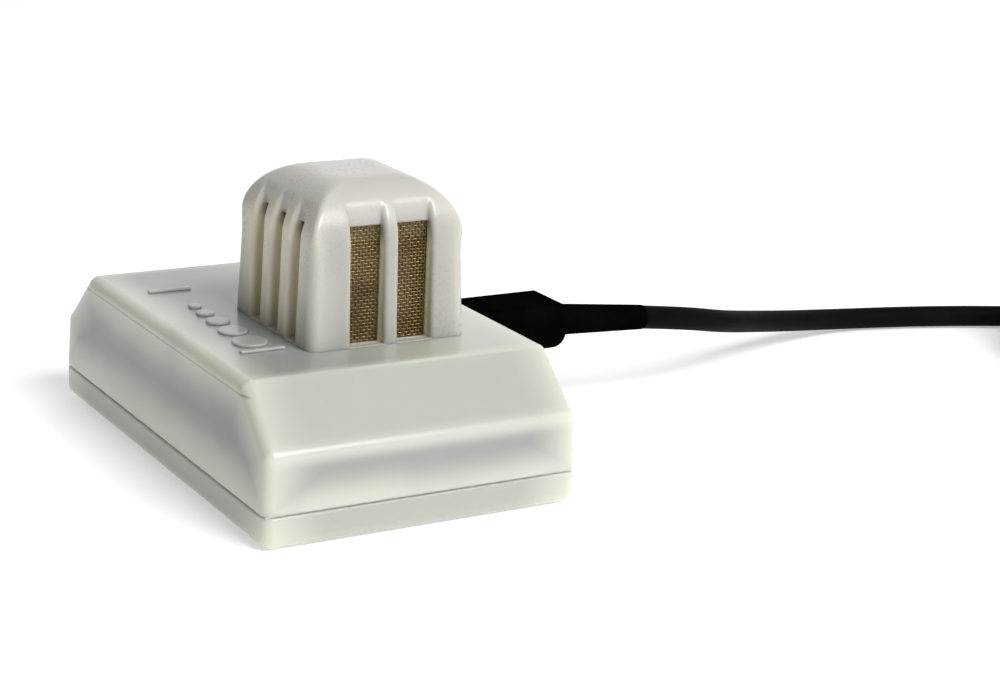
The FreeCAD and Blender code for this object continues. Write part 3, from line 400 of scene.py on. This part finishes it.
def coil_points(step=15.0):
    out = []
    total = KEYS[-1][0]
    n = round(total / step)
    for i in range(n + 1):
        w = total * i / n
        for (a, ra, za), (b, rb, zb) in zip(KEYS, KEYS[1:]):
            if a <= w <= b:
                f = (w - a) / (b - a)
                break
        r = ra + (rb - ra) * f
        z = Z[za] + (Z[zb] - Z[za]) * f
        x, y = on_coil(ENTER - w, r / 0.9914)
        out.append((x, y, z))
    return out


tail_points = [
    (194.2, -27.4, Z[3] - 0.6),
    (195.4, -37.6, 11.6),
    (193.0, -47.4, 9.1),
    (187.2, -55.6, 6.8),
    (179.0, -61.3, 5.1),
    (169.4, -63.9, 4.5),
    (JACK[0] - 0.05, JACK[1], JACK[2]),
]


def cord_curve(name, pts, rad, mat):
    cu = bpy.data.curves.new(name, "CURVE")
    cu.dimensions = "3D"
    sp = cu.splines.new("NURBS")
    sp.points.add(len(pts) - 1)
    for p, q in zip(sp.points, pts):
        p.co = (q[0] * MM, q[1] * MM, q[2] * MM, 1.0)
    sp.order_u = 3
    sp.use_endpoint_u = True
    cu.resolution_u = 5
    cu.bevel_depth = rad * MM
    cu.bevel_resolution = 5
    cu.use_fill_caps = True
    o = bpy.data.objects.new(name, cu)
    scene.collection.objects.link(o)
    cu.materials.append(mat)
    return o


route = lead_points + coil_points() + tail_points
lead_cord = cord_curve("lead_cord", route, R, m_jacket)
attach(lead_cord, LEADB)
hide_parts("cable", "cable_coil", "cable_tail")


def lathe(name, profile, origin, direction, sides, mat, body, node, bend=None):
    """A turned piece: (distance along, radius) pairs about an axis."""
    d = Vector(direction).normalized()
    up = Vector((0, 0, 1)) if abs(d.z) < 0.9 else Vector((0, 1, 0))
    s = d.cross(up).normalized()
    t = s.cross(d).normalized()
    verts, faces = [], []
    o = Vector(origin)
    for a, r in profile:
        off = Vector((0, 0, 0)) if bend is None else bend(a)
        for k in range(sides):
            an = 2 * math.pi * k / sides
            verts.append((o + d * a + off + (s * math.cos(an) + t * math.sin(an)) * r) * MM)
    n = len(profile)
    for i in range(n - 1):
        for k in range(sides):
            k2 = (k + 1) % sides
            faces.append((i * sides + k, i * sides + k2, (i + 1) * sides + k2, (i + 1) * sides + k))
    faces.append(tuple(reversed(range(sides))))
    faces.append(tuple((n - 1) * sides + k for k in range(sides)))
    ob = mesh_object(name, verts, faces, mat, body, node)
    bm = bmesh.new()
    bm.from_mesh(ob.data)
    bmesh.ops.recalc_face_normals(bm, faces=bm.faces)
    bm.to_mesh(ob.data)
    bm.free()
    return smooth(ob, 40)


# tapered relief where the lead leaves its plug
prof = [(-0.4, 2.62)]
for i in range(0, 37):
    f = i / 36.0
    a = f * (RELIEF - 0.25)
    r = 2.6 + (2.06 - 2.6) * f
    r += 0.55 * math.exp(-a / 0.5)
    prof.append((a, r))
prof += [(RELIEF - 0.1, 2.02), (RELIEF, 1.93), (RELIEF + 0.02, 1.6)]
relief = lathe("lead_relief", prof, (BOOT_X, 0, LEAD_Z), (math.cos(DROP), 0, -math.sin(DROP)), 40, m_black, LEADB, "strain_relief")

# jack at the far end: grip with ribs, and its taper
prof = [(0.0, 2.0), (0.05, 2.05), (0.2, 2.12)]
for i in range(1, 24):
    f = i / 24.0
    a = 0.2 + f * 11.4
    r = 2.12 + (3.15 - 2.12) * f
    if 3 < a < 10.5 and (int((a - 3) / 0.9) % 2):
        r -= 0.25
    prof.append((a, r))
prof += [(12.0, 3.2)]
jack_relief = lathe("jack_taper", prof, JACK, (-1, 0, 0), 40, m_black, LEADB, "jack_relief")
prof = [(12.0, 3.1), (12.02, 3.7), (12.3, 4.15), (12.8, 4.4)]
a = 13.2
while a < 24.5:
    prof += [(a, 4.48), (a + 0.55, 4.48), (a + 0.75, 4.2), (a + 1.0, 4.2)]
    a += 1.2
prof += [(25.4, 4.48), (27.0, 4.45), (27.6, 4.25), (28.0, 3.7), (28.0, 1.8)]
jack_grip = lathe("jack_grip", prof, JACK, (-1, 0, 0), 56, m_black, LEADB, "jack_body")


# strap that holds the coil: a band round the coil's section
def strap():
    an = math.radians(-50)
    d = Vector((math.cos(an), math.sin(an), 0))
    s = Vector((-math.sin(an), math.cos(an), 0))
    c = Vector((CX, CY, 0))
    r0, r1 = CM - 1.5 * D, CM + 1.5 * D
    zl, zh = CLOW, CLOW + ROWS * D
    rad = 1.9
    th = 0.55
    pts = []
    for (px_, pz, a0) in ((r1 - rad, zh - rad, 0), (r0 + rad, zh - rad, 90), (r0 + rad, zl + rad, 180), (r1 - rad, zl + rad, 270)):
        for k in range(9):
            t = math.radians(a0 + k * 90 / 8)
            pts.append((px_, pz, math.cos(t), math.sin(t)))
    verts, faces = [], []
    W = 10
    n = len(pts)
    for i, (a, b, ca, sa) in enumerate(pts):
        for j in range(W + 1):
            w = (j / W - 0.5) * 7.6
            bulge = 0.05 * math.sin(j * 2.1 + i * 0.9)
            for rr in (rad + 0.03, rad + th + bulge * 0.5 - (0.12 if j in (0, W) else 0)):
                x_, z_ = a + ca * rr, max(b + sa * rr, 0.02)
                verts.append((c + d * x_ + s * w + Vector((0, 0, z_))) * MM)
    st = (W + 1) * 2
    for i in range(n):
        i2 = (i + 1) % n
        for j in range(W):
            a0, a1, b0, b1 = i * st + j * 2, i * st + (j + 1) * 2, i2 * st + j * 2, i2 * st + (j + 1) * 2
            faces.append((a0 + 1, a1 + 1, b1 + 1, b0 + 1))
            faces.append((a0, b0, b1, a1))
        a0, b0 = i * st, i2 * st
        faces.append((a0, a0 + 1, b0 + 1, b0))
        a0, b0 = i * st + W * 2, i2 * st + W * 2
        faces.append((a0 + 1, a0, b0, b0 + 1))
    t = Tree("strap_weave")
    w1 = t.node("ShaderNodeTexWave", wave_type="BANDS", bands_direction="DIAGONAL")
    w1.inputs["Scale"].default_value = 700
    w1.inputs["Distortion"].default_value = 2
    t.put(w1.inputs["Vector"], t.coord())
    n1 = t.noise(2500, 3)
    h = t.math("ADD", t.math("MULTIPLY", w1.outputs[1], 0.6), n1)
    t.set(Base_Color=t.mix(t.ramp(h, 0.4, 1.2), (0.012, 0.012, 0.013), (0.06, 0.06, 0.062)), Roughness=t.ramp(n1, 0.3, 0.7, 0.75, 0.95),
          Normal=t.bump(h, 0.8, 0.0002), Sheen_Weight=0.3)
    o = mesh_object("coil_strap", verts, faces, t.mat, LEADB, "coil_tie")
    bm = bmesh.new()
    bm.from_mesh(o.data)
    bmesh.ops.recalc_face_normals(bm, faces=bm.faces)
    bm.to_mesh(o.data)
    bm.free()
    return smooth(o, 50)


coil_strap = strap()


# ----------------------------------------------------------- woven screen
def woven_screen():
    """A square sleeve of brass wires, each passing over and under the ones it crosses."""
    lo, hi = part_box("mesh_screen")
    x0, y0, z0 = (v / MM for v in lo)
    x1, y1, z1 = (v / MM for v in hi)
    pitch = 0.5
    wr = 0.125
    mid = 0.15
    ax0, ax1, ay0, ay1 = x0 + mid, x1 - mid, y0 + mid, y1 - mid
    rc = 0.6
    w, h = ax1 - ax0, ay1 - ay0
    side = [w - 2 * rc, h - 2 * rc]
    q = math.pi / 2 * rc
    per = 2 * (side[0] + side[1]) + 4 * q
    cols = int(per / pitch / 2) * 2
    rows = int((z1 - z0 + 0.1) / pitch)

    def at(s):
        """Point and outward normal at arc length s round the sleeve."""
        s %= per
        corners = ((ax0 + rc, ay0 + rc, -90), (ax1 - rc, ay0 + rc, -90), (ax1 - rc, ay1 - rc, 0), (ax0 + rc, ay1 - rc, 90))
        legs = (((ax0 + rc, ay0), (1, 0), (0, -1), side[0], (ax1 - rc, ay0 + rc), -90),
                ((ax1, ay0 + rc), (0, 1), (1, 0), side[1], (ax1 - rc, ay1 - rc), 0),
                ((ax1 - rc, ay1), (-1, 0), (0, 1), side[0], (ax0 + rc, ay1 - rc), 90),
                ((ax0, ay1 - rc), (0, -1), (-1, 0), side[1], (ax0 + rc, ay0 + rc), 180))
        for p, u, n, L, c, a0 in legs:
            if s <= L:
                return p[0] + u[0] * s, p[1] + u[1] * s, n[0], n[1]
            s -= L
            if s <= q:
                an = math.radians(a0) + s / rc
                return c[0] + rc * math.cos(an), c[1] + rc * math.sin(an), math.cos(an), math.sin(an)
            s -= q
        return at(0)

    step = per / cols
    verts, faces = [], []
    amp = 0.085
    SIDES = 5
    rnd = random.Random(3)

    def sweep(path, frames, closed):
        base = len(verts)
        for (p, (a, b)) in zip(path, frames):
            for k in range(SIDES):
                an = 2 * math.pi * (k + 0.5) / SIDES
                verts.append((p + a * (wr * math.cos(an)) + b * (wr * math.sin(an))) * MM)
        m = len(path)
        for i in range(m if closed else m - 1):
            i2 = (i + 1) % m
            for k in range(SIDES):
                k2 = (k + 1) % SIDES
                faces.append((base + i * SIDES + k, base + i * SIDES + k2, base + i2 * SIDES + k2, base + i2 * SIDES + k))
        if not closed:
            faces.append(tuple(base + k for k in reversed(range(SIDES))))
            faces.append(tuple(base + (m - 1) * SIDES + k for k in range(SIDES)))

    up = Vector((0, 0, 1))
    zb = z0 + 0.15
    for c in range(cols):
        path, fr = [], []
        jit = rnd.uniform(-0.03, 0.03)
        x, y, nx, ny = at((c + 0.5) * step + jit)
        n = Vector((nx, ny, 0))
        t = Vector((-ny, nx, 0))
        for r in range(rows * 2 + 1):
            z = zb + r * pitch / 2
            ph = math.pi * (r / 2 - 0.5) + math.pi * c
            off = amp * math.sin(ph + math.pi / 2)
            path.append(Vector((x, y, z)) + n * off)
            fr.append((n, t))
        sweep(path, fr, False)
    for r in range(rows):
        z = zb + (r + 0.5) * pitch + rnd.uniform(-0.02, 0.02)
        path, fr = [], []
        for i in range(cols * 2):
            s = i * step / 2
            x, y, nx, ny = at(s)
            n = Vector((nx, ny, 0))
            ph = math.pi * (i / 2 - 0.5) + math.pi * r
            off = -amp * math.sin(ph + math.pi / 2)
            path.append(Vector((x, y, z)) + n * off)
            fr.append((n, up))
        sweep(path, fr, True)
    o = mesh_object("woven_screen", verts, faces, m_brass, ROOT, "mesh_screen")
    for p in o.data.polygons:
        p.use_smooth = True
    return o


screen = woven_screen()


# -------------------------------------------------------- cap, soft edged
def surface_nets(f, lo, h):
    """Quads on the zero level of a sampled distance field (negative inside)."""
    nx, ny, nz = f.shape
    neg = f < 0
    shape = (nx - 1, ny - 1, nz - 1)
    acc = [np.zeros(shape, np.float32) for _ in range(3)]
    cnt = np.zeros(shape, np.float32)
    for ax in range(3):
        oth = [k for k in range(3) if k != ax]
        for da in (0, 1):
            for db in (0, 1):
                s0, s1 = [None] * 3, [None] * 3
                s0[ax], s1[ax] = slice(0, -1), slice(1, None)
                for k, d in zip(oth, (da, db)):
                    s0[k] = s1[k] = slice(d, f.shape[k] - 1 + d)
                s0, s1 = tuple(s0), tuple(s1)
                cross = neg[s0] != neg[s1]
                den = f[s0] - f[s1]
                t = np.where(cross, f[s0] / np.where(den == 0, 1, den), 0)
                acc[ax] += t
                for k, d in zip(oth, (da, db)):
                    if d:
                        acc[k] += cross
                cnt += cross
    act = cnt > 0
    idx = np.full(shape, -1, np.int64)
    idx[act] = np.arange(int(act.sum()))
    ijk = np.argwhere(act).astype(np.float32)
    c = cnt[act]
    verts = np.stack([lo[k] + h * (ijk[:, k] + acc[k][act] / c) for k in range(3)], 1)
    quads = []
    for ax in range(3):
        a, b = [k for k in range(3) if k != ax]
        s0, s1 = [slice(None)] * 3, [slice(None)] * 3
        s0[ax], s1[ax] = slice(0, -1), slice(1, None)
        for k in (a, b):
            s0[k] = s1[k] = slice(1, f.shape[k] - 1)
        n0, n1 = neg[tuple(s0)], neg[tuple(s1)]
        e = np.argwhere(n0 != n1)
        down = n0[n0 != n1]
        e[:, a] += 1
        e[:, b] += 1

        def cell(da, db):
            q = e.copy()
            q[:, a] -= da
            q[:, b] -= db
            return idx[q[:, 0], q[:, 1], q[:, 2]]

        q = np.stack([cell(1, 1), cell(0, 1), cell(0, 0), cell(1, 0)], 1)
        flip = ~down if ax != 1 else down
        q[flip] = q[flip][:, ::-1]
        quads.append(q)
    return verts, np.concatenate(quads)


def soft_cap():
    """The vented cap as moulded: the same sizes as the solid part, every slot edge rounded over."""
    h = 0.2
    lo = np.array([-12.5, -27.7, 15.3])
    hi = np.array([17.7, 11.9, 46.0])
    n = [int((hi[k] - lo[k]) / h) + 1 for k in range(3)]
    X, Y, Zz = (a.astype(np.float32) for a in np.meshgrid(*(lo[k] + h * np.arange(n[k]) for k in range(3)), indexing="ij", sparse=True))
    xa, xb, ya, yb, zt, z0, dr = -10.25, 15.4, -21.1, 5.3, 45.4, 21.8, 0.035

    def box(x0, x1, y0, y1, za, zb):
        qx = np.abs(X - (x0 + x1) / 2) - (x1 - x0) / 2
        qy = np.abs(Y - (y0 + y1) / 2) - (y1 - y0) / 2
        qz = np.abs(Zz - (za + zb) / 2) - (zb - za) / 2
        inn = np.minimum(np.maximum(qx, np.maximum(qy, qz)), 0)
        return np.sqrt(np.maximum(qx, 0) ** 2 + np.maximum(qy, 0) ** 2 + np.maximum(qz, 0) ** 2) + inn

    def rmax(a, b, r):
        a, b = a + r, b + r
        return np.sqrt(np.maximum(a, 0) ** 2 + np.maximum(b, 0) ** 2) + np.minimum(np.maximum(a, b), 0) - r

    def profile(u, a, b, r):
        w = (b - a) / 2 - dr * (Zz - z0)
        return rmax(np.abs(u - (a + b) / 2) - w, Zz - zt, r)

    k = np.clip((Zz - 34.0) / 6.0, 0, 1)
    dome = rmax(profile(X, xa, xb, 8.5), profile(Y, ya, yb, 8.5), 1.7 - 1.2 * k * k * (3 - 2 * k))
    dome = np.maximum(dome, z0 - 0.3 - Zz)
    ca, cb, da, db, top = -7.6, 12.75, -18.45, 2.65, 39.1
    lip = 0.35
    slots = np.full(dome.shape, 1e3, np.float32)
    wins = box(ca, cb, da, db, 10, top)
    for a, b in ((-3.5, 1.9), (4.15, 9.6)):
        slots = np.minimum(slots, box(a, b, -40, da - lip, z0, 70))
        slots = np.minimum(slots, box(a, b, db + lip, 40, z0, 70))
        wins = np.minimum(wins, box(a, b, da - 0.8, db + 0.8, z0, top))
    for k in (-1, 0, 1):
        c = -8.2 + 6.1 * k
        slots = np.minimum(slots, box(-40, ca - lip, c - 1.5, c + 1.5, z0, 70))
        slots = np.minimum(slots, box(cb + lip, 40, c - 1.5, c + 1.5, z0, 70))
        wins = np.minimum(wins, box(ca - 0.8, cb + 0.8, c - 1.5, c + 1.5, z0, top))
    f = rmax(dome, -slots, 0.75)
    collar = rmax(rmax(np.abs(X - (xa + xb) / 2) - (xb - xa) / 2 + 0.1, np.abs(Y - (ya + yb) / 2) - (yb - ya) / 2 + 0.1, 1.6),
                  np.abs(Zz - 19.55) - 2.3, 0.05)
    f = np.minimum(f, collar)
    f = np.minimum(f, box(xa - 1.65, xb + 1.65, ya - 1.65, yb + 1.65, 15.85, 17.25))
    holes = None
    for ex_, ey_ in ((-5.0, ya - 3.8), (10.2, ya - 3.8), (-5.0, yb + 3.8), (10.2, yb + 3.8)):
        rr = np.sqrt((X - ex_) ** 2 + (Y - ey_) ** 2)
        f = np.minimum(f, np.maximum(rr - 2.25, np.abs(Zz - 16.55) - 0.7))
        hole = 1.1 - rr
        f = np.maximum(f, np.where(Zz < 18, hole, -1e3))
    f = rmax(f, -wins, 0.2)
    # groove that takes the screen's top edge
    groove = np.maximum(box(ca + 0.02, cb - 0.02, da + 0.02, db - 0.02, 30, 39.5), -box(ca + 0.42, cb - 0.42, da + 0.42, db - 0.42, 20, 60))
    f = np.maximum(f, -groove)
    v, q = surface_nets(f, lo, h)
    me = bpy.data.meshes.new("cap_shell")
    me.from_pydata([tuple(p) for p in (v * MM).tolist()], [], q.tolist())
    me.update()
    o = bpy.data.objects.new("cap_shell", me)
    scene.collection.objects.link(o)
    me.materials.append(m_cap)
    for p in me.polygons:
        p.use_smooth = True
    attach(o, ROOT)
    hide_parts("vented_cap")
    return o


cap = soft_cap()

for name in nodes:
    if not nodes[name].hide_render:
        smooth(nodes[name], 30)


# ------------------------------------------------------- floor and lights
def floor():
    me = bpy.data.meshes.new("floor")
    s = 3.0
    me.from_pydata([(-s, -s, 0), (s, -s, 0), (s, s, 0), (-s, s, 0)], [], [(0, 1, 2, 3)])
    o = bpy.data.objects.new("floor", me)
    scene.collection.objects.link(o)
    t = Tree("floor_paper")
    n = t.noise(6, 3)
    t.set(Base_Color=t.mix(t.ramp(n, 0.3, 0.7), (0.93, 0.93, 0.93), (0.915, 0.915, 0.915)), Roughness=0.9, Specular_IOR_Level=0.2,
          Emission_Color=(1.0, 1.0, 1.0, 1.0), Emission_Strength=0.36)
    me.materials.append(t.mat)
    o.location.z = -0.0002


floor()


def area(name, loc, target, size, power, col=(1, 1, 1), sy=None):
    d = bpy.data.lights.new(name, "AREA")
    d.shape = "RECTANGLE"
    d.size = size
    d.size_y = sy or size
    d.energy = power
    d.color = col
    o = bpy.data.objects.new(name, d)
    scene.collection.objects.link(o)
    o.location = loc
    v = Vector(target) - Vector(loc)
    o.rotation_euler = v.to_track_quat("-Z", "Y").to_euler()
    return o


area("key", (0.22, -0.80, 0.85), (0, 0, 0.02), 0.55, 11.6)
area("card", (0.6, 1.0, 0.38), (0, 0, 0.02), 2.0, 3.1, sy=0.7)
w = bpy.data.worlds.new("studio")
scene.world = w
w.use_nodes = True
wt = w.node_tree
wt.nodes["Background"].inputs[0].default_value = (0.97, 0.985, 1.0, 1)
tc = wt.nodes.new("ShaderNodeTexCoord")
sx = wt.nodes.new("ShaderNodeSeparateXYZ")
mr = wt.nodes.new("ShaderNodeMapRange")
wt.links.new(tc.outputs["Generated"], sx.inputs[0])
wt.links.new(sx.outputs[0], mr.inputs["Value"])
for k, v in (("From Min", -0.9), ("From Max", 0.3), ("To Min", 0.10), ("To Max", 0.42)):
    mr.inputs[k].default_value = v
wt.links.new(mr.outputs[0], wt.nodes["Background"].inputs[1])
